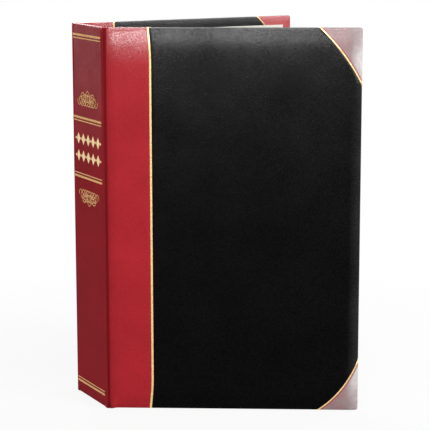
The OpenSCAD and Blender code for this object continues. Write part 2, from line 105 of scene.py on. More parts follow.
def leatherette(name, colour, deep, rough, level, coat, coatIor, speckle, pebble):
    made, tree, out = newMaterial(name)
    place = addNode(tree, "TexCoord").outputs["Object"]
    cells = addNode(tree, "TexVoronoi", {"Vector": place, "Scale": 1 / (pebble * mm), "Randomness": 0.9},
                    feature="SMOOTH_F1")
    fine = addNode(tree, "TexNoise", {"Vector": place, "Scale": 1 / (grain["fine"] * mm), "Detail": 3.0})
    broad = addNode(tree, "TexNoise", {"Vector": place, "Scale": 1 / (grain["patches"] * mm), "Detail": 4.0,
                                       "Roughness": 0.55})
    pebbles = addNode(tree, "Math", {0: cells.outputs["Distance"], 1: grain["rounding"]}, operation="POWER")
    relief = addNode(tree, "Math", {0: fine.outputs["Fac"], 1: grain["fineShare"], 2: pebbles.outputs[0]},
                     operation="MULTIPLY_ADD")
    tone = addNode(tree, "MapRange", {"Value": relief.outputs[0], "From Min": 0.2, "From Max": 0.95})
    grained = addNode(tree, "Mix", {"Factor": tone.outputs[0], "A": linearColour(colour),
                                    "B": linearColour(deep)}, data_type="RGBA")
    patch = addNode(tree, "MapRange", {**noiseSpan, "Value": broad.outputs["Fac"], "To Min": 0.9,
                                       "To Max": 1.1})
    varied = addNode(tree, "HueSaturation", {"Color": grained.outputs[2], "Value": patch.outputs[0]})
    # Painted shade: deep in the joint's groove the colour goes over to a darker copy of the deep tone.
    grooveShade = addNode(tree, "Attribute", attribute_name="grooveShade")
    grooveShadeColour = (*[grain["creaseShade"] * x for x in linearColour(deep)[:3]], 1.0)
    grooveShaded = addNode(tree, "Mix", {"Factor": grooveShade.outputs["Fac"], "A": varied.outputs[0], "B": grooveShadeColour},
                   data_type="RGBA")
    # A painted glare greys the dyed skin and then takes it nearly to white. It is
    # streaky: broad strokes of a few millimetres with fine specks in them.
    paintedGlare = addNode(tree, "Attribute", attribute_name="paintedGlare")
    glareStreaks = addNode(tree, "TexNoise", {"Vector": place, "Scale": 1 / (grain["glareStreaks"] * mm),
                                         "Detail": 5.0, "Roughness": 0.6})
    uneven = addNode(tree, "MapRange", {**noiseSpan, "Value": glareStreaks.outputs["Fac"], "To Min": 0.75,
                                        "To Max": 1.05})
    glareAmount = addNode(tree, "Math", {0: paintedGlare.outputs["Fac"], 1: uneven.outputs[0]}, operation="MULTIPLY")
    glareGrey = addNode(tree, "MapRange", {"Value": glareAmount.outputs[0], "From Max": glareLook["glareGreyAt"]})
    glareWhitening = addNode(tree, "MapRange", {"Value": glareAmount.outputs[0], "From Min": glareLook["glareGreyAt"]})
    glareGreyed = addNode(tree, "Mix", {"Factor": glareGrey.outputs[0], "A": grooveShaded.outputs[2],
                                 "B": linearColour(glareLook["glareGrey"])}, data_type="RGBA")
    glareWhite = addNode(tree, "Mix", {"Factor": glareWhitening.outputs[0], "A": glareGreyed.outputs[2],
                                 "B": linearColour(glareLook["glareWhite"])}, data_type="RGBA")
    gloss = addNode(tree, "MapRange", {**noiseSpan, "Value": broad.outputs["Fac"], "To Min": rough - 0.05,
                                       "To Max": rough + 0.06})
    bump = addNode(tree, "Bump", {"Height": relief.outputs[0], "Strength": 0.8,
                                  "Distance": grain["height"] * mm}, invert=True)
    # The skin's shine is a coat: as strong as burnish says, less under the painted glare,
    # and cloudy.
    burnish = addNode(tree, "Attribute", attribute_name="burnish")
    whole = addNode(tree, "MapRange", {"Value": glareAmount.outputs[0], "From Max": glareLook["coatGoneAt"],
                                       "To Min": coat, "To Max": glareLook["coatLeft"] * coat})
    shine = addNode(tree, "Math", {0: burnish.outputs["Fac"], 1: whole.outputs[0]}, operation="MULTIPLY")
    cloud = addNode(tree, "MapRange", {**noiseSpan, "Value": broad.outputs["Fac"], "To Min": 0.7,
                                       "To Max": 1.3})
    clouded = addNode(tree, "Math", {0: shine.outputs[0], 1: cloud.outputs[0]}, operation="MULTIPLY")
    # Only the tops of the grain take the shine. Drawn twice as coarse as they are, so that
    # they show.
    tops = addNode(tree, "TexNoise", {"Vector": place, "Scale": 1 / (grain["tops"] * mm), "Detail": 2.0})
    polished = addNode(tree, "MapRange", {"Value": tops.outputs["Fac"], "From Min": 0.38, "From Max": 0.62,
                                          "To Min": 1 - speckle, "To Max": 1 + speckle})
    speckled = addNode(tree, "Math", {0: clouded.outputs[0], 1: polished.outputs[0]}, operation="MULTIPLY",
                       use_clamp=True)
    glitter = addNode(tree, "Bump", {"Height": relief.outputs[0], "Strength": 1.0,
                                     "Distance": grain["glitter"] * grain["height"] * mm}, invert=True)
    skin = addNode(tree, "BsdfPrincipled", {
        "Base Color": glareWhite.outputs[2], "Roughness": gloss.outputs[0], "Normal": bump.outputs[0],
        "Specular IOR Level": level, "IOR": 1.5, "Coat Weight": speckled.outputs[0], "Coat Roughness": 0.27,
        "Coat IOR": coatIor, "Coat Normal": glitter.outputs[0]})
    tree.links.new(skin.outputs[0], out.inputs[0])
    return made


redSkin = leatherette("redLeatherette", "#af2c33", "#99222a", rough=0.36, level=0.005, coat=0.75,
                      coatIor=1.95, speckle=0.35, pebble=0.9)
blackSkin = leatherette("blackLeatherette", "#151416", "#040303", rough=0.36, level=0.01, coat=0.46,
                        coatIor=1.62, speckle=0.25, pebble=1.0)


# Gilding is metallised foil pressed on hot: a warm bright film, a little uneven. The
# spine's rules and scrolls get a darker, browner copy of it, with less varnish.
def foil(name, colour, deep, varnish, fleckSize=1.2, height=0.05):
    made, tree, out = newMaterial(name)
    place = addNode(tree, "TexCoord").outputs["Object"]
    fleck = addNode(tree, "TexNoise", {"Vector": place, "Scale": 1 / (fleckSize * mm), "Detail": 3.0})
    tone = addNode(tree, "MapRange", {**fleckSpan, "Value": fleck.outputs["Fac"]})
    shade = addNode(tree, "Mix", {"Factor": tone.outputs[0], "A": linearColour(colour),
                                  "B": linearColour(deep)}, data_type="RGBA")
    bump = addNode(tree, "Bump", {"Height": fleck.outputs["Fac"], "Strength": 0.4, "Distance": height * mm})
    skin = addNode(tree, "BsdfPrincipled", {
        "Base Color": shade.outputs[2], "Metallic": 1.0, "Roughness": 0.34, "Normal": bump.outputs[0],
        "Coat Weight": varnish, "Coat Roughness": 0.25})
    tree.links.new(skin.outputs[0], out.inputs[0])
    return made


goldFoil = foil("goldFoil", "#fbe2ad", "#dba95f", varnish=0.6)
brownerFoil = foil("brownerGoldFoil", "#f0bd70", "#945c28", varnish=0.1)


# Board, foam, paper and film: plain stuffs with the fibre, cell or ripple of each, size
# and height in mm.
def plainStuff(name, colour, deep, size, stretch, rough, height, level=0.4, coat=0.0):
    made, tree, out = newMaterial(name)
    place = addNode(tree, "TexCoord").outputs["Object"]
    turned = addNode(tree, "Mapping", {"Vector": place, "Scale": stretch})
    fibre = addNode(tree, "TexNoise", {"Vector": turned.outputs[0], "Scale": 1 / (size * mm), "Detail": 5.0})
    tone = addNode(tree, "MapRange", {**fleckSpan, "Value": fibre.outputs["Fac"]})
    shade = addNode(tree, "Mix", {"Factor": tone.outputs[0], "A": linearColour(colour),
                                  "B": linearColour(deep)}, data_type="RGBA")
    bump = addNode(tree, "Bump", {"Height": fibre.outputs["Fac"], "Strength": 0.5, "Distance": height * mm})
    skin = addNode(tree, "BsdfPrincipled", {
        "Base Color": shade.outputs[2], "Roughness": rough, "Normal": bump.outputs[0],
        "Specular IOR Level": level, "Coat Weight": coat, "Coat Roughness": 0.15})
    tree.links.new(skin.outputs[0], out.inputs[0])
    return made


greyBoard = plainStuff("greyBoard", "#8f8a80", "#7b766c", size=0.5, stretch=(1, 1, 0.3), rough=0.85,
                       height=0.06)
foamStuff = plainStuff("foam", "#e6dfc8", "#cfc7ad", size=0.6, stretch=(1, 1, 1), rough=0.9, height=0.15)
liningPaper = plainStuff("liningPaper", "#d9d7d0", "#cfccc4", size=0.8, stretch=(1, 1, 0.5), rough=0.7,
                         height=0.03)
leafPaper = plainStuff("leafPaper", "#ecedeb", "#e3e4e2", size=1.0, stretch=(1, 1, 0.5), rough=0.55,
                       height=0.02)
pocketFilm = plainStuff("pocketFilm", "#f4f5f4", "#eaeceb", size=22, stretch=(1, 1, 0.35), rough=0.25,
                        height=0.10, level=0.3, coat=0.25)


# Nickel-plated steel: bright, with a light haze drawn along the strip it was rolled from.
def steel(name, colour, deep, hazeSize=0.6, hazeStretch=0.08):
    made, tree, out = newMaterial(name)
    place = addNode(tree, "TexCoord").outputs["Object"]
    turned = addNode(tree, "Mapping", {"Vector": place, "Scale": (1, 1, hazeStretch)})
    haze = addNode(tree, "TexNoise", {"Vector": turned.outputs[0], "Scale": 1 / (hazeSize * mm),
                                      "Detail": 3.0})
    shade = addNode(tree, "Mix", {"Factor": haze.outputs["Fac"], "A": linearColour(colour),
                                  "B": linearColour(deep)}, data_type="RGBA")
    gloss = addNode(tree, "MapRange", {"Value": haze.outputs["Fac"], "To Min": 0.16, "To Max": 0.34})
    skin = addNode(tree, "BsdfPrincipled", {"Base Color": shade.outputs[2], "Metallic": 1.0,
                                            "Roughness": gloss.outputs[0]})
    tree.links.new(skin.outputs[0], out.inputs[0])
    return made


nickelSteel = steel("nickelPlatedSteel", "#c9cbce", "#b4b6ba")
print("materials made")


# A mesh from grids of points (rows, columns, 3) in mm. Each grid comes with a flag that
# turns its faces, a dict of attributes of the same rows and columns, and its material's
# number.
def gridMesh(name, parts, materials, merge=0.01):
    verts, faces, slots, start = [], [], [], 0
    values = {key: [] for part in parts for key in part[2]}
    for grid, turned, attributes, slot in parts:
        rows, cols = grid.shape[:2]
        index = np.arange(rows * cols).reshape(rows, cols) + start
        quad = np.stack([index[:-1, :-1], index[:-1, 1:], index[1:, 1:], index[1:, :-1]], -1).reshape(-1, 4)
        faces.append(quad[:, ::-1] if turned else quad)
        slots.append(np.full(len(quad), slot))
        verts.append(grid.reshape(-1, 3))
        for key in values:
            values[key].append(np.broadcast_to(attributes.get(key, 0.0), (rows, cols)).reshape(-1))
        start += rows * cols
    mesh = bpy.data.meshes.new(name)
    mesh.from_pydata((np.concatenate(verts) * mm).tolist(), [], np.concatenate(faces).tolist())
    mesh.polygons.foreach_set("material_index", np.concatenate(slots).astype(np.int32))
    for key, arrays in values.items():
        layer = mesh.attributes.new(key, "FLOAT", "POINT")
        layer.data.foreach_set("value", np.concatenate(arrays).astype(np.float32))
    work = bmesh.new()
    work.from_mesh(mesh)
    bmesh.ops.remove_doubles(work, verts=work.verts, dist=merge * mm)
    bmesh.ops.dissolve_degenerate(work, edges=work.edges, dist=merge * mm * 0.5)
    work.to_mesh(mesh)
    work.free()
    mesh.shade_smooth()
    for material in materials:
        mesh.materials.append(material)
    piece = bpy.data.objects.new(name, mesh)
    scene.collection.objects.link(piece)
    return piece


def thicken(piece, wall):  # a sheet gets its thickness inwards
    solid = piece.modifiers.new("thickness", "SOLIDIFY")
    solid.thickness, solid.offset = wall * mm, -1
    return piece


def faceOutwards(piece):  # turns the faces of every closed part outwards
    work = bmesh.new()
    work.from_mesh(piece.data)
    bmesh.ops.recalc_face_normals(work, faces=work.faces)
    work.to_mesh(piece.data)
    work.free()
    return piece


# Height of an edge roll, d from the edge: an arc that drops by drop over width.
def edgeRoll(d, width, drop):
    r = (width * width + drop * drop) / (2 * drop)
    x = np.clip(width - d, 0, width)
    return r - np.sqrt(r * r - x * x)


def smoothStep(x, a, b):  # rises from 0 at a to 1 at b, as three times the square less twice the cube
    t = np.clip((x - a) / (b - a), 0, 1)
    return t * t * (3 - 2 * t)


# A smooth line through points, by cubic pieces whose slope at a point is half the
# step between its neighbours.
def smoothLine(points, steps):
    p = np.asarray(points, float)
    ends = np.concatenate([[2 * p[0] - p[1]], p, [2 * p[-1] - p[-2]]])
    a, b, c, d = (ends[k:k + len(p) - 1, None] for k in range(4))
    t = np.linspace(0, 1, steps + 1)[:-1][None, :, None]
    line = 0.5 * (2 * b + (c - a) * t + (2 * a - 5 * b + 4 * c - d) * t ** 2
                  + (3 * b - a - 3 * c + d) * t ** 3)
    return np.concatenate([line.reshape(-1, p.shape[1]), p[-1:]])


# A board wrapped in leatherette is drawn in its own frame: u across, z up, and v from
# the outer face inwards, in mm. Its face is a height v(u, z). At the inset from an edge
# the face goes over into a band, whose section rounds the edge, runs down the wall and
# turns in behind. The section is made of quadratic curves with a control point on the
# edge, so that it leaves the face along the face's own slope.
def bandSection(board, vTop, lastInset=None):
    d0, slope, depth = board["inset"], board["slope"], board["depth"]
    t = np.linspace(0, 1, 9)[:, None]
    v1 = vTop[None, :] + slope * d0
    v2 = v1 + board["overR"]
    v3 = np.clip(depth - board["underR"], v2, depth - board["leastTurn"])
    overD = (1 - t) ** 2 * d0 + 0 * v1
    overV = (1 - t) ** 2 * vTop + 2 * t * (1 - t) * v1 + t ** 2 * v2
    underD = t ** 2 * board["underR"] + 0 * v1
    underV = (1 - t) ** 2 * v3 + (1 - (1 - t) ** 2) * depth
    last = board["turnIn"] if lastInset is None else lastInset
    tail = board["underR"] + (last - board["underR"]) * np.linspace(0, 1, 4)[1:, None]
    return (np.concatenate([overD, underD, tail + 0 * v1]),
            np.concatenate([overV, underV, depth + 0 * tail + 0 * v1]))


def onSide(board, side, d, s):  # u and z of a point s along a side, at inset d
    if side in ("head", "foot"):
        return s, (board["head"] - d if side == "head" else board["foot"] + d)
    return (board["high"] - d if side == "high" else board["low"] + d), s


def pastCorner(board, d):  # how far from a corner the straight part of a side ends
    return np.maximum(d, board["corner"])


# Band along one side. starts and ends give the place along the side at inset d, and
# shares how the columns lie between them.
def sideBand(board, side, starts, ends, shares):
    d0 = np.full(len(shares), board["inset"])
    s0 = starts(d0) * (1 - shares) + ends(d0) * shares
    d, v = bandSection(board, board["face"](*onSide(board, side, d0, s0)))
    u, z = onSide(board, side, d, starts(d) * (1 - shares) + ends(d) * shares)
    return np.broadcast_to(u, d.shape), v, np.broadcast_to(z, d.shape)


# Band round a corner: an arc about the corner's centre, which closes up further in.
def cornerBand(board, uSign, zSign, columns=9):
    a = np.radians(np.linspace(0, 90, columns))
    u0, z0 = board["high" if uSign > 0 else "low"], board["head" if zSign > 0 else "foot"]
    u1, z1 = u0 - uSign * board["inset"], z0 - zSign * board["inset"]
    d, v = bandSection(board, board["face"](np.full(columns, u1), np.full(columns, z1)))
    r = np.maximum(board["corner"] - d, 0)
    back = pastCorner(board, d)
    return u0 - uSign * (back - r * np.cos(a)), v, z0 - zSign * (back - r * np.sin(a))


# All sizes are in mm and degrees. low and high are where a cover's board begins and ends
# along u. The face falls from jointRoll to the flap, which lies flapDepth deep. Of the
# ripples in the flap's edge the height comes first and then the lengths.
albumSizes = {"height": 362.0, "thickness": 76.0, "splay": 30.0, "jointX": -0.4, "jointSet": 1.7}
coverSizes = {"low": 3.4, "high": 236.3, "depth": 7.6, "inset": 2.6, "corner": 2.0, "turnIn": 16.0,
              "overR": 2.4, "underR": 1.0, "leastTurn": 0.3, "slope": 0.23, "roll": 20.0, "drop": 2.6,
              "flap": 1.8, "flapDepth": 1.25, "jointRoll": 11.0, "jointPower": 2.2, "endFade": (1.8, 9.0),
              "cloth": 0.8, "overlap": 0.06}
foamWaves = {"height": 0.10, "lift": 1.2, "across": 23.0, "up": 31.0, "phase": 0.9, "swing": 0.6,
             "swingUp": 41.0, "fineShare": 0.5, "fineAcross": 9.5, "fineUp": 14.0, "jointSide": (12.0, 45.0),
             "otherSides": (6.0, 45.0)}
stripSizes = {"width": 41.9, "headBend": 2.4, "headReach": 34.0, "footBend": 2.4, "footReach": 34.0,
              "ripple": (0.12, 3.7, 11.0), "rippleLong": (0.08, 23.0), "thinFrom": -0.2, "thinTo": 3.0,
              "wallTop": 2.1, "wallBend": 1.0, "wallEnds": 0.4}
cornerSizes = {"head": {"across": 38.5, "down": 52.0, "radius": 190.0},
               "foot": {"across": 38.0, "down": 49.0, "radius": 110.0}}
# black and red: the part of the shine that goes on below the roll, and how far it fades.
shineSizes = {"black": (0.55, 85.0), "red": (0.15, 60.0), "head": (4.0, 38.0), "rim": 1.1,
              "rimReach": (0.5, 4.0), "fore": 0.7, "foreReach": (1.0, 12.0)}
# Strength and reach of the painted glare on the corners, strongest on the front cover.
glareSizes = {"front": 1.0, "back": 0.25, "skin": 0.48, "glareWhite": 0.5, "depth": (4.0, 6.5), "seam": (0.5, 2.6),
            "glareWhiteSeam": (0.4, 2.5), "foreEdge": (1.0, 15.0), "endShare": 0.35, "end": (6.0, 28.0)}
coverGrid = {"across": 49, "up": 61, "toKink": 8, "flap": 19, "strip": 14, "flapShare": 0.32, "wallUp": 41,
             "cornerAcross": 25, "cornerUp": 33}
endRows = np.array([0, 1, 2.5, 5, 8, 11, 14, 17.5, 21.0])   # rows crowd where the ends roll over
height = albumSizes["height"]
jointY = albumSizes["thickness"] / 2 - albumSizes["jointSet"]


# Face of a padded cover: the rolls of its edges joined by a power mean, a fall into the
# joint, and the slight unevenness of the foam, a product of long sines plus a finer one.
def coverFace(u, z):
    c, f = coverSizes, foamWaves
    fore = edgeRoll(c["high"] - u, c["roll"], c["drop"])
    ends = np.maximum(edgeRoll(z, c["roll"], c["drop"]), edgeRoll(height - z, c["roll"], c["drop"]))
    ends = ends * smoothStep(u, *c["endFade"])
    fall = np.clip((c["jointRoll"] - u) / (c["jointRoll"] - c["flap"]), 0, 1)
    joint = c["flapDepth"] * fall ** c["jointPower"]
    rolled = (fore ** 3 + ends ** 3 + joint ** 3) ** (1 / 3)
    inside = smoothStep(u, *f["jointSide"]) * smoothStep(c["high"] - u, *f["otherSides"]) \
        * smoothStep(z, *f["otherSides"]) * smoothStep(height - z, *f["otherSides"])
    slow = np.sin(u / f["across"] + f["swing"] * np.sin(z / f["swingUp"])) * np.sin(z / f["up"] + f["phase"])
    wave = slow + f["fineShare"] * np.sin(u / f["fineAcross"] + z / f["fineUp"])
    return rolled + inside * f["height"] * (wave + f["lift"])


# The covers burnish where they are stretched over the head, most at its very edge, and a
# little at the fore edge. Below the roll the shine fades with the distance d from the
# head, as exp(-d / fade).
def burnishOf(u, z, floorShine, fade):
    s = shineSizes
    head = (1 - floorShine) * (1 - smoothStep(height - z, *s["head"])) \
        + floorShine * np.exp((z - height) / fade)
    head = head * (1 + s["rim"] * (1 - smoothStep(height - z, *s["rimReach"])))
    return np.maximum(head, s["fore"] * (1 - smoothStep(coverSizes["high"] - u, *s["foreReach"])))


# u of the strip's seam: straight, and drawn towards the spine as a parabola at its ends.
def stripSeam(z):
    s = stripSizes
    return s["width"] - s["headBend"] * np.clip(1 - (height - z) / s["headReach"], 0, 1) ** 2 \
        - s["footBend"] * np.clip(1 - z / s["footReach"], 0, 1) ** 2


# Centre and radius of a corner's curve, from its reach along the two edges. It is drawn
# for the head; for the foot, z counts downwards from there.
def cornerArc(end):
    c = cornerSizes[end]
    chord = math.hypot(c["across"], c["down"])
    back = math.sqrt(c["radius"] ** 2 - chord ** 2 / 4)
    return (coverSizes["high"] - c["across"] / 2 - back * c["down"] / chord,
            height - c["down"] / 2 - back * c["across"] / chord, c["radius"])


def seamU(z, arc):  # u of a corner's curve at height z
    return arc[0] + np.sqrt(np.maximum(arc[2] ** 2 - (z - arc[1]) ** 2, 0))


def seamZ(u, arc):  # and its height at u
    return arc[1] + np.sqrt(np.maximum(arc[2] ** 2 - (u - arc[0]) ** 2, 0))


# A cover turns about its joint: side is -1 for the front one, which stands open, and 1
# for the back one.
def coverPlace(side):
    turn = math.radians(albumSizes["splay"]) if side < 0 else 0.0

    def place(u, v, z):
        w = v - albumSizes["jointSet"]
        x = albumSizes["jointX"] + u * math.cos(turn) + w * math.sin(turn)
        y = side * jointY - u * math.sin(turn) - side * w * math.cos(turn)
        return np.stack(np.broadcast_arrays(x, y, z), -1)
    return place


def ruled(left, right, z, shares):  # rows at heights z, with columns shared out from left to right
    u = left[:, None] * (1 - shares) + right[:, None] * shares
    return u, coverFace(u, z[:, None] + 0 * u), z[:, None] + 0 * u


# Heights of rows from the foot to the head, inset d0. They crowd in a zone at each end:
# atEnds counts them there, and between counts the others.
def rowsUp(d0, zone, atEnds, between):
    return np.concatenate([np.linspace(d0, zone, atEnds), np.linspace(zone, height - zone, between)[1:-1],
                           np.linspace(height - zone, height - d0, atEnds)])


def makeCover(side, name):
    c, s, g = coverSizes, stripSizes, coverGrid
    board = {**c, "foot": 0.0, "head": height, "face": coverFace, "place": coverPlace(side),
             "turned": side > 0}
    d0 = board["inset"]
    right = c["high"] - d0
    arcs = {end: cornerArc(end) for end in ("head", "foot")}
    kinks = {end: float(seamZ(np.array(right), arcs[end])) for end in arcs}

    def build(suffix, patches, material, node, paintedGlare=None):
        shine = shineSizes["black" if material is blackSkin else "red"]
        parts = []
        for (u, v, z), turned in patches:
            values = {"burnish": burnishOf(u, z, *shine)}
            if paintedGlare is not None:   # the painted glare lies only on the outer face and its edges
                values["paintedGlare"] = paintedGlare(u, z) * (1 - smoothStep(v, *glareSizes["depth"]))
            parts.append((board["place"](u, v, z), turned != board["turned"], values, 0))
        piece = thicken(gridMesh(name + suffix, parts, [material]), c["cloth"])
        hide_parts(node)
        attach(piece, name + "_cover")

    # Field: the rows meet the two kinks, where the corners' curves run into the fore edge.
    def rowsToKink(end):
        return np.concatenate([d0 + endRows, np.linspace(d0 + endRows[-1], height - kinks[end],
                                                         g["toKink"])[1:]])

    shares = np.linspace(0, 1, g["across"])
    lowRows, highRows = rowsToKink("foot"), height - rowsToKink("head")[::-1]
    sideRows = np.linspace(lowRows[-1], highRows[0], g["up"])
    rows = np.concatenate([lowRows, sideRows[1:-1], highRows])
    rightSeam = np.where(rows > kinks["head"], seamU(rows, arcs["head"]),
                         np.where(rows < height - kinks["foot"], seamU(height - rows, arcs["foot"]), right))
    field = [
        (ruled(stripSeam(rows), rightSeam, rows, shares), False),
        (sideBand(board, "head", lambda d: stripSeam(height - d0) + 0 * d,
                  lambda d: seamU(height - d, arcs["head"]), shares), False),
        (sideBand(board, "foot", lambda d: stripSeam(d0) + 0 * d,
                  lambda d: seamU(height - d, arcs["foot"]), shares), True),
        (sideBand(board, "high", lambda d: height - seamZ(c["high"] - d, arcs["foot"]),
                  lambda d: seamZ(c["high"] - d, arcs["head"]), np.linspace(0, 1, g["up"])), True)]
    build("Field", field, blackSkin, name + "_field")

    # Strip: its face from the flap beside the joint, then its ends. The flap has no board
    # behind it, so there the ends turn in at once.
    stripShares = np.concatenate([np.linspace(0, g["flapShare"], g["flap"]),
                                  np.linspace(g["flapShare"], 1, g["strip"])[1:]])
    between = np.linspace(d0 + endRows[-1], height - d0 - endRows[-1], g["up"])[1:-1]
    stripRows = np.concatenate([d0 + endRows, between, (height - d0 - endRows)[::-1]])
    (fine, short, beat), (broad, long) = s["ripple"], s["rippleLong"]
    flap = c["flap"] + fine * np.sin(stripRows / short) * np.sin(stripRows / beat + 1) \
        + broad * np.sin(stripRows / long)
    strip = [(ruled(flap, stripSeam(stripRows), stripRows, stripShares), False)]
    for end, turned in (("head", False), ("foot", True)):
        seam = stripSeam(height - d0) if end == "head" else stripSeam(d0)
        u, v, z = sideBand(board, end, lambda d: c["flap"] + 0 * d, lambda d: seam + 0 * d, stripShares)
        thin = 1 - smoothStep(u, c["low"] + s["thinFrom"], c["low"] + s["thinTo"])
        v = v * (1 - thin) + np.minimum(v, c["flapDepth"] + c["cloth"]) * thin
        strip.append(((u, v, z), turned))

    # Beside the joint the strip runs down the cover's edge and in behind the board, over
    # the ends that are turned in already.
    t = np.radians(np.linspace(0, 90, 7))[1:]
    back, bend = c["depth"] + c["overlap"], s["wallBend"]
    straight = np.linspace(s["wallTop"], back - bend, 6)
    behind = np.linspace(c["low"] + bend, c["low"] + c["turnIn"], 5)[1:]
    wallU = np.concatenate([np.full(len(straight), c["low"]), c["low"] + bend - bend * np.cos(t), behind])
    wallV = np.concatenate([straight, back - bend + bend * np.sin(t), np.full(len(behind), back)])
    wallZ = np.linspace(s["wallEnds"], height - s["wallEnds"], g["wallUp"])[:, None]
    strip.append(((wallU + 0 * wallZ, wallV + 0 * wallZ, wallZ + 0 * wallU), True))
    build("Strip", strip, redSkin, name + "_strip")

    # Corners: rows between the curve and the fore edge, the two bands and the round corner.
    for end in ("head", "foot"):
        arc = arcs[end]
        cornerRows = np.linspace(kinks[end], height - d0, g["cornerUp"])
        across, down = np.linspace(0, 1, g["cornerAcross"]), np.linspace(0, 1, g["cornerUp"])

        def face(u, z):
            return coverFace(u, z if end == "head" else height - z)

        u = np.minimum(seamU(cornerRows, arc), right)[:, None] * (1 - across) + right * across
        z = cornerRows[:, None] + 0 * u
        drawn = {**board, "face": face}
        patches = [((u, face(u, z), z), False),
                   (sideBand(drawn, "head", lambda d: seamU(height - d, arc),
                             lambda d: c["high"] - pastCorner(board, d), across), False),
                   (sideBand(drawn, "high", lambda d: seamZ(c["high"] - d, arc),
                             lambda d: height - pastCorner(board, d), down), True),
                   (cornerBand(drawn, 1, 1), True)]
        if end == "foot":
            patches = [((u, v, height - z), not turned) for (u, v, z), turned in patches]

        def paintedGlare(u, z):  # painted glare: from the seam outwards, and whitest along the fore edge
            r = glareSizes
            fromFoot = z if end == "head" else height - z
            out = np.hypot(u - arc[0], fromFoot - arc[1]) - arc[2]
            nearEnd = r["endShare"] + (1 - r["endShare"]) * smoothStep(height - fromFoot, *r["end"])
            edge = (1 - smoothStep(c["high"] - u, *r["foreEdge"])) * nearEnd
            return r[name] * (r["skin"] * smoothStep(out, *r["seam"])
                              + r["glareWhite"] * edge * smoothStep(out, *r["glareWhiteSeam"]))

        word = "Top" if end == "head" else "Bottom"
        build("Corner" + word, patches, redSkin, name + "_corner_" + word.lower(), paintedGlare)
    return board, arcs


frontBoard, frontArcs = makeCover(-1, "front")
backBoard, backArcs = makeCover(1, "back")
print("covers made")

paddingSizes = {"thickness": 3.4, "slack": 0.05, "least": 0.3, "steps": 41}


# The foam under the leatherette: the same face set in by the cloth, on a flat back.
def makePadding(board, name):
    p, cloth = paddingSizes, coverSizes["cloth"]
    back = cloth + p["thickness"]
    share = 0.5 - 0.5 * np.cos(np.linspace(0, np.pi, p["steps"]))
    u = coverSizes["low"] + cloth + (coverSizes["high"] - coverSizes["low"] - 2 * cloth) * share
    z = cloth + (height - 2 * cloth) * share
    uu, zz = np.meshgrid(u, z)
    top = np.minimum(coverFace(uu, zz) + cloth + p["slack"], back - p["least"])
    face = np.stack([uu, zz, top], -1)
    rim = np.concatenate([face[0], face[:, -1], face[-1, ::-1], face[::-1, 0]])
    wall = [board["place"](rim[:, 0], v, rim[:, 1]) for v in (rim[:, 2], np.full(len(rim), back))]
    parts = [(board["place"](uu, top, zz), board["turned"], {}, 0),
             (np.stack(wall), not board["turned"], {}, 0),
             (board["place"](uu, np.full(uu.shape, back), zz), not board["turned"], {}, 0)]
    piece = gridMesh(name + "Padding", parts, [foamStuff])
    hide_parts(name + "_padding")
    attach(piece, name + "_cover")


makePadding(frontBoard, "front")
makePadding(backBoard, "back")
print("padding made")

# A line's section is edge + dome * (1 - x * x) of its rise, x from -1 to 1 across it.
gildingSizes = {"stripLine": 2.0, "cornerLine": 1.3, "rise": 0.22, "edge": 0.45, "dome": 0.55, "sink": 0.15,
                "inside": 9.0, "endZone": 24.0, "rows": (12, 71), "arcRows": 41, "columns": 5}


# A gilt line is carried along the leatherette: across it the section is a low dome, and
# each point is moved out along the leatherette's normal, found from the grid's own steps.
def gildPart(board, u, v, z):
    g = gildingSizes
    grid = board["place"](u, v, z)
    normal = np.cross(np.gradient(grid, axis=0), np.gradient(grid, axis=1))
    normal /= np.maximum(np.linalg.norm(normal, axis=-1, keepdims=True), 1e-9)
    mid = (len(grid) // 2, grid.shape[1] // 2)
    turned = bool(normal[mid] @ (board["place"](u, v - 1, z)[mid] - grid[mid]) < 0)
    normal = -normal if turned else normal
    x = np.linspace(-1, 1, grid.shape[1])
    over = grid + normal * (g["rise"] * (g["edge"] + g["dome"] * (1 - x * x)))[None, :, None]
    under = grid - normal * g["sink"]
    loop = np.concatenate([over, under[:, ::-1], over[:, :1]], axis=1)
    return [(loop, not turned, {}, 0), (np.stack([over[0], under[0]]), not turned, {}, 0),
            (np.stack([over[-1], under[-1]]), turned, {}, 0)]


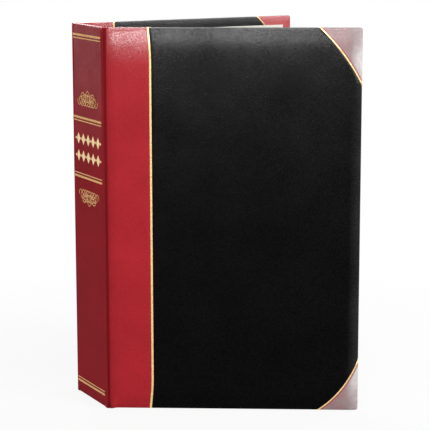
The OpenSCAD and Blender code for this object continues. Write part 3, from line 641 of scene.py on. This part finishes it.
def makeGilding(board, arcs, name):
    c, g = coverSizes, gildingSizes
    d0 = board["inset"]
    cross = np.linspace(-0.5, 0.5, g["columns"])

    # Beside the strip: in over the foot, up the face and over the head.
    zFace = rowsUp(d0, g["endZone"], *g["rows"])[:, None]
    uFace = stripSeam(zFace) + cross * g["stripLine"]
    dHead, vHead = bandSection(board, coverFace(uFace[-1], height - d0), g["inside"])
    dFoot, vFoot = bandSection(board, coverFace(uFace[0], d0 + 0 * cross), g["inside"])
    parts = gildPart(board, np.concatenate([uFace[:1] + 0 * dFoot, uFace[1:-1], uFace[-1:] + 0 * dHead]),
                     np.concatenate([vFoot[::-1], coverFace(uFace, zFace + 0 * uFace)[1:-1], vHead]),
                     np.concatenate([dFoot[::-1], (zFace + 0 * uFace)[1:-1], height - dHead]))

    # Along the corners: in over the head, along the curve and out over the fore edge.
    for end in ("head", "foot"):
        uc, zc, radius = arcs[end]
        r = radius + cross * g["cornerLine"]
        a1 = np.arcsin((height - d0 - zc) / r)
        a2 = np.arccos((c["high"] - d0 - uc) / r)
        angle = a1 + (a2 - a1) * np.linspace(0, 1, g["arcRows"])[:, None]
        uArc, zArc = uc + r * np.cos(angle), zc + r * np.sin(angle)
        vArc = coverFace(uArc, zArc if end == "head" else height - zArc)
        dHead, vHead = bandSection(board, vArc[0], g["inside"])
        dFore, vFore = bandSection(board, vArc[-1], g["inside"])
        uHead = uc + np.sqrt(r * r - (height - dHead - zc) ** 2)
        zFore = zc + np.sqrt(r * r - (c["high"] - dFore - uc) ** 2)
        u = np.concatenate([uHead[::-1], uArc[1:-1], c["high"] - dFore])
        v = np.concatenate([vHead[::-1], vArc[1:-1], vFore])
        z = np.concatenate([(height - dHead)[::-1], zArc[1:-1], zFore])
        parts += gildPart(board, u, v, z if end == "head" else height - z)
    piece = faceOutwards(gridMesh(name + "Gilding", parts, [goldFoil], merge=0.002))
    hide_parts(name + "_gilding")
    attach(piece, name + "_cover")


makeGilding(frontBoard, frontArcs, "front")
makeGilding(backBoard, backArcs, "back")
print("gilding made")

# endRoll and sideRoll are the width and drop of the rolls at the edges.
spineSizes = {"half": 34.5, "out": 2.1, "cloth": 0.8, "inset": 1.5, "corner": 1.3, "turnIn": 16.0,
              "overR": 1.3, "underR": 0.6, "leastTurn": 0.3, "slope": 0.06, "endRoll": (5.0, 0.35),
              "sideRoll": (4.0, 0.3), "shine": 0.27, "shineReach": (4.0, 150.0), "endZone": 8.0,
              "rows": (5, 61), "columns": 33}


# Face of the spine: flat, and rolled off a little at all four edges.
def spineFace(u, z):
    s = spineSizes
    ends = np.maximum(edgeRoll(z, *s["endRoll"]), edgeRoll(height - z, *s["endRoll"]))
    return edgeRoll(s["half"] - np.abs(u), *s["sideRoll"]) + ends


def spinePlace(u, v, z):  # the spine's face looks along -x, and u runs along y
    return np.stack(np.broadcast_arrays(v - spineSizes["out"], u, z), -1)


# The spine's cover: its face, a band along each side and one round each corner.
def makeSpine():
    s = spineSizes
    board = {**s, "low": -s["half"], "high": s["half"], "foot": 0.0, "head": height, "depth": 2 * s["out"],
             "face": spineFace}
    d0 = board["inset"]
    across = np.linspace(0, 1, s["columns"])
    rows = rowsUp(d0, s["endZone"], *s["rows"])
    uu, zz = np.meshgrid((2 * across - 1) * (s["half"] - d0), rows)
    up = (rows - rows[0]) / (rows[-1] - rows[0])
    lowEnd, highEnd = lambda d: -s["half"] + pastCorner(board, d), lambda d: s["half"] - pastCorner(board, d)
    footEnd, headEnd = lambda d: pastCorner(board, d), lambda d: height - pastCorner(board, d)
    patches = [((uu, spineFace(uu, zz), zz), True),
               (sideBand(board, "head", lowEnd, highEnd, across), True),
               (sideBand(board, "foot", lowEnd, highEnd, across), False),
               (sideBand(board, "high", footEnd, headEnd, up), False),
               (sideBand(board, "low", footEnd, headEnd, up), True)]
    patches += [(cornerBand(board, a, b), a * b < 0) for a in (1, -1) for b in (1, -1)]
    parts = []
    for patch, turned in patches:
        burnish = s["shine"] * (1 - smoothStep(height - patch[2], *s["shineReach"]))
        parts.append((spinePlace(*patch), turned, {"burnish": burnish}, 0))
    piece = thicken(gridMesh("spineCloth", parts, [redSkin]), s["cloth"])
    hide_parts("spine_cloth")
    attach(piece, "spine")


makeSpine()
print("spine made")

# The joint's section: points from the spine's edge as (back, depth), and from the hinge
# along the cover as (u, v). It bends between blendBack behind the hinge and blendAhead.
jointSizes = {"wall": 0.8, "ends": 0.3, "grooveShade": (0.9, 2.0), "rows": 61, "blendBack": 1.4, "blendAhead": 1.6,
              "spineSide": [(5.2, 0.12), (4.2, -0.10), (2.8, -0.12), (1.5, -0.05), (0.6, 0.25), (0.05, 0.85)],
              "coverSide": [(0.75, 1.30), (1.6, 1.22), (2.6, 1.22), (3.8, 1.30)]}


# A joint is the leatherette between the spine and a cover: it leaves the spine flush,
# dips into a narrow groove over the hinge line and ends under the strip. Its section is
# a smooth line, given from the spine's face and from the cover's, and runs up the album.
def makeJoint(side, name):
    j = jointSizes
    turn = math.radians(albumSizes["splay"]) if side < 0 else 0.0
    centre = np.array([albumSizes["jointX"], side * jointY])
    ahead = np.array([math.cos(turn), -math.sin(turn)])
    inward = np.array([math.sin(turn), -side * math.cos(turn)])
    line = [(depth - spineSizes["out"], centre[1] - side * back) for back, depth in j["spineSide"]]
    line += [tuple(centre + u * ahead + (v - albumSizes["jointSet"]) * inward) for u, v in j["coverSide"]]
    outer = smoothLine(line, 4)
    step = np.gradient(outer, axis=0)
    step /= np.linalg.norm(step, axis=1, keepdims=True)
    inner = outer + j["wall"] * side * np.stack([-step[:, 1], step[:, 0]], 1)
    if inner[2, 0] < outer[2, 0]:
        inner = 2 * outer - inner
    zs = np.linspace(j["ends"], height - j["ends"], j["rows"])[:, None]
    # Painted shade: near the hinge line the groove is marked to be painted darker.
    grooveShade = 1 - smoothStep(np.linalg.norm(outer - centre, axis=1), *j["grooveShade"])

    def sheet(points):
        return np.concatenate([np.broadcast_to(points, (j["rows"], *points.shape)),
                               np.broadcast_to(zs[:, None], (j["rows"], len(points), 1))], -1)

    loop = np.concatenate([sheet(outer), sheet(inner)[:, ::-1], sheet(outer)[:, :1]], 1)
    marks = np.concatenate([grooveShade, grooveShade[::-1], grooveShade[:1]])[None, :]
    parts = [(loop, False, {"grooveShade": marks}, 0),
             (np.stack([sheet(outer)[0], sheet(inner)[0]]), False, {"grooveShade": grooveShade[None, :]}, 0),
             (np.stack([sheet(outer)[-1], sheet(inner)[-1]]), True, {"grooveShade": grooveShade[None, :]}, 0)]
    piece = faceOutwards(gridMesh(name + "Joint", parts, [redSkin]))
    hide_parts(name + "_joint")
    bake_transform(piece)


makeJoint(-1, "front")
makeJoint(1, "back")
print("joints made")

finishes = {
    greyBoard: ["spine_board", "front_board", "back_board"],
    liningPaper: ["spine_lining", "front_lining", "back_lining"],
    goldFoil: ["spine_lozenges"],
    brownerFoil: ["spine_rules", "spine_scrolls"],
    nickelSteel: ["ring_base", "ring_rivets", "lever_pins", "front_blade", "back_blade", "front_half_rings",
                  "back_half_rings", "lever_top", "lever_bottom"],
}

# holes are the heights of the rings, fan is the last leaf's share of its cover's turn, and
# a pocket's film is fully raised puffReach away from the weld on the rings' side. The
# last five count the points of the grids.
leafSizes = {"count": 8, "ringX": 26.246, "ringR": 23.0, "foreX": 198.65, "low": 12.0, "high": 350.0,
             "pitch": 1.5, "core": 0.36, "hole": 3.7, "margin": 8.5, "bound": 12.0, "seam": 3.0, "pockets": 3,
             "film": 0.10, "gap": 0.01, "thin": 0.02, "lip": 0.6, "puff": 0.20, "puffReach": 22.0,
             "notch": 9.0, "holes": (73.0, 181.0, 289.0), "fan": 0.82, "quarterPoints": 9, "between": 6,
             "columns": 9, "pocketRows": 27, "pocketColumns": 12}


# A pocket leaf: a core sheet with punched holes, and three clear pockets on each face,
# welded on three sides and open at the fore edge, with a thumb notch. The leaf is drawn
# flat: p from the rings to the fore edge, q across, z up.
def makeLeaf(side, name, number):
    s = leafSizes
    mid = (number + 0.5) * s["pitch"]
    hole = math.sqrt(s["ringR"] ** 2 - mid ** 2)
    turn = math.radians(albumSizes["splay"] * s["fan"] * number / (s["count"] - 1)) if side < 0 else 0.0

    def place(p, q, z):
        y = side * (mid + q)
        return np.stack(np.broadcast_arrays(s["ringX"] + p * math.cos(turn) + y * math.sin(turn),
                                            -p * math.sin(turn) + y * math.cos(turn), z), -1)

    # Round each hole lies a square patch, whose border points the strips beside it share.
    m, quarter = s["margin"], np.linspace(-45, 45, s["quarterPoints"])
    offsets = m * np.tan(np.radians(quarter))
    rows = [s["low"]]
    for zc in s["holes"]:
        rows += [*np.linspace(rows[-1], zc - m, s["between"])[1:-1], *(zc + offsets)]
    rows = np.array(rows + [*np.linspace(rows[-1], s["high"], s["between"])[1:]])
    angles = np.radians(np.concatenate([quarter + k for k in (0, 90, 180, 270)]))
    square = m * np.stack([np.cos(angles), np.sin(angles)]) / np.maximum(np.abs(np.cos(angles)),
                                                                        np.abs(np.sin(angles)))
    circle = s["hole"] * np.stack([np.cos(angles), np.sin(angles)])
    faces, parts = [], []
    for zc in s["holes"]:
        t = np.linspace(0, 1, 3)[:, None]
        faces.append((hole + circle[0] * (1 - t) + square[0] * t,
                      zc + circle[1] * (1 - t) + square[1] * t, False))
    gaps = [s["low"], *[zc + k * m for zc in s["holes"] for k in (-1, 1)], s["high"]]
    for a, b in zip(gaps[::2], gaps[1::2]):
        zz, pp = np.meshgrid(rows[(rows > a - 1e-6) & (rows < b + 1e-6)], hole + offsets, indexing="ij")
        faces.append((pp, zz, True))
    columns = np.concatenate([[hole + m], np.linspace(hole + s["bound"], s["foreX"], s["columns"])])
    zz, pp = np.meshgrid(rows, columns, indexing="ij")
    faces.append((pp, zz, True))
    half = s["core"] / 2
    for p, z, turned in faces:
        parts.append((place(p, half, z), turned == (side > 0), {}, 0))
        parts.append((place(p, -half, z), turned != (side > 0), {}, 0))
    # walls round the sheet and in the holes
    rim = np.concatenate([np.stack([np.full(len(rows), hole - m), rows], -1)[::-1],
                          np.stack([hole + offsets, np.full(len(offsets), s["low"])], -1),
                          np.stack([columns, np.full(len(columns), s["low"])], -1),
                          np.stack([np.full(len(rows), s["foreX"]), rows], -1),
                          np.stack([columns, np.full(len(columns), s["high"])], -1)[::-1],
                          np.stack([hole + offsets, np.full(len(offsets), s["high"])], -1)[::-1]])
    wall = [place(rim[:, 0], q, rim[:, 1]) for q in (half, -half)]
    parts.append((np.stack(wall), side > 0, {}, 0))
    for zc in s["holes"]:
        ring = [place(hole + circle[0], q, zc + circle[1]) for q in (half, -half)]
        parts.append((np.stack(ring), side < 0, {}, 0))

    # Pockets: film that puffs up as a product of half sines, to powers under 1 so that it
    # is steep at the welds, and stays open at the lip.
    tall = (s["high"] - s["low"] - (s["pockets"] + 1) * s["seam"]) / s["pockets"]
    p0 = hole + s["bound"]
    for k in range(s["pockets"]):
        z0 = s["low"] + s["seam"] + k * (tall + s["seam"])
        zRow = z0 + tall * (0.5 - 0.5 * np.cos(np.linspace(0, np.pi, s["pocketRows"])))
        lip = s["foreX"] - s["lip"] - np.sqrt(np.maximum(s["notch"] ** 2 - (zRow - z0 - tall / 2) ** 2, 0))
        share = np.linspace(0, 1, s["pocketColumns"]) ** 0.8
        p = p0 + (lip - p0)[:, None] * share
        z = zRow[:, None] + 0 * p
        rise = np.sin(np.pi * (z - z0) / tall) ** 0.4 \
            * np.sin(np.pi / 2 * np.clip((p - p0) / s["puffReach"], 0, 1)) ** 0.6
        lift = half + s["gap"] + s["puff"] * rise
        for face in (1, -1):
            over = place(p, face * (lift + s["film"] * 0.5), z)
            under = place(p, face * (lift - s["film"] * 0.5 + s["thin"]), z)
            flip = (face * side) > 0
            parts.append((over, flip, {}, 1))
            parts.append((under, not flip, {}, 1))
            edge = [np.concatenate([g[0], g[1:, -1], g[-1, -2::-1], g[-2::-1, 0]]) for g in (over, under)]
            parts.append((np.stack(edge), not flip, {}, 1))
    piece = faceOutwards(gridMesh(name, parts, [leafPaper, pocketFilm], merge=0.004))
    piece.data.shade_flat()
    piece.data.polygons.foreach_set("use_smooth", [p.material_index == 1 for p in piece.data.polygons])
    return piece


for side, word in ((-1, "front"), (1, "back")):
    for number in range(leafSizes["count"]):
        node = word + "_leaf_" + str(number + 1)
        leaf = makeLeaf(side, word + "Leaf" + str(number + 1), number)
        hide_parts(node)
        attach(leaf, node)
print("leaves made")

for material, nodes in finishes.items():
    for node in nodes:
        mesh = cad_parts[node].data
        mesh.materials.clear()
        mesh.materials.append(material)
print("finishes given")

# Within near of its centre, in metres, the floor's white has the share glow. It rises
# to all white at far.
studio = {"floor": 30.0, "colour": "#dedede", "centre": (0.06, -0.06, 0), "glow": 0.88, "near": 0.22,
          "far": 0.75, "ambient": 0.10}
lamps = {"keyLamp": {"place": (0.9, -1.6, 1.1), "aim": (0.1, 0, 0.18), "size": 0.9, "watts": 24},
         "windowLamp": {"place": (-0.84, -1.53, 0.80), "aim": (0.05, -0.06, 0.33), "size": 0.6, "watts": 13},
         "overheadLamp": {"place": (-0.1, -0.5, 1.5), "aim": (0.1, 0, 0.3), "size": 0.5, "watts": 7},
         "backLamp": {"place": (0.35, 1.8, 0.9), "aim": (0.1, 0, 0.18), "size": 0.9, "watts": 22},
         "sideLamp": {"place": (1.9, 0.25, 0.7), "aim": (0.1, 0, 0.18), "size": 0.8, "watts": 12}}


# The floor and the world are white to the camera and in reflections, and plain to the
# light, so that the floor keeps a soft shadow near the album.
def whiteSeen(tree):
    path = addNode(tree, "LightPath")
    seen = addNode(tree, "Math", {0: path.outputs["Is Camera Ray"], 1: path.outputs["Is Glossy Ray"]},
                   operation="ADD")
    return addNode(tree, "Math", {0: seen.outputs[0], 1: path.outputs["Is Transmission Ray"]},
                   operation="ADD", use_clamp=True)


floorMesh = bpy.data.meshes.new("floor")
reach = studio["floor"]
floorMesh.from_pydata([(-reach, -reach, 0), (reach, -reach, 0), (reach, reach, 0), (-reach, reach, 0)], [],
                      [(0, 1, 2, 3)])
floorObject = bpy.data.objects.new("floor", floorMesh)
scene.collection.objects.link(floorObject)
floorMaterial, tree, out = newMaterial("paleFloor")
seen = whiteSeen(tree)
away = addNode(tree, "VectorMath", {0: addNode(tree, "TexCoord").outputs["Object"], 1: studio["centre"]},
               operation="DISTANCE")
fade = addNode(tree, "MapRange", {"Value": away.outputs["Value"], "From Min": studio["near"],
                                  "From Max": studio["far"], "To Min": studio["glow"], "To Max": 1.0},
               interpolation_type="SMOOTHSTEP")
share = addNode(tree, "Math", {0: seen.outputs[0], 1: fade.outputs[0]}, operation="MULTIPLY")
matt = addNode(tree, "BsdfDiffuse", {"Color": linearColour(studio["colour"])})
glow = addNode(tree, "Emission", {"Color": (1, 1, 1, 1), "Strength": 1.0})
both = addNode(tree, "MixShader", {0: share.outputs[0], 1: matt.outputs[0], 2: glow.outputs[0]})
tree.links.new(both.outputs[0], out.inputs[0])
floorMesh.materials.append(floorMaterial)

world = bpy.data.worlds.new("studio")
scene.world = world
world.use_nodes = True
tree = world.node_tree
tree.nodes.clear()
strength = addNode(tree, "MapRange", {"Value": whiteSeen(tree).outputs[0], "To Min": studio["ambient"],
                                      "To Max": 1.0})
glow = addNode(tree, "Background", {"Color": (1, 1, 1, 1), "Strength": strength.outputs[0]})
tree.links.new(glow.outputs[0], addNode(tree, "OutputWorld").inputs[0])

for name, lamp in lamps.items():
    data = bpy.data.lights.new(name, "AREA")
    data.shape, data.size, data.energy = "SQUARE", lamp["size"], lamp["watts"]
    lampObject = bpy.data.objects.new(name, data)
    scene.collection.objects.link(lampObject)
    lampObject.location = lamp["place"]
    towards = Vector(lamp["aim"]) - Vector(lamp["place"])
    lampObject.rotation_euler = towards.to_track_quat("-Z", "Y").to_euler()
print("studio made")
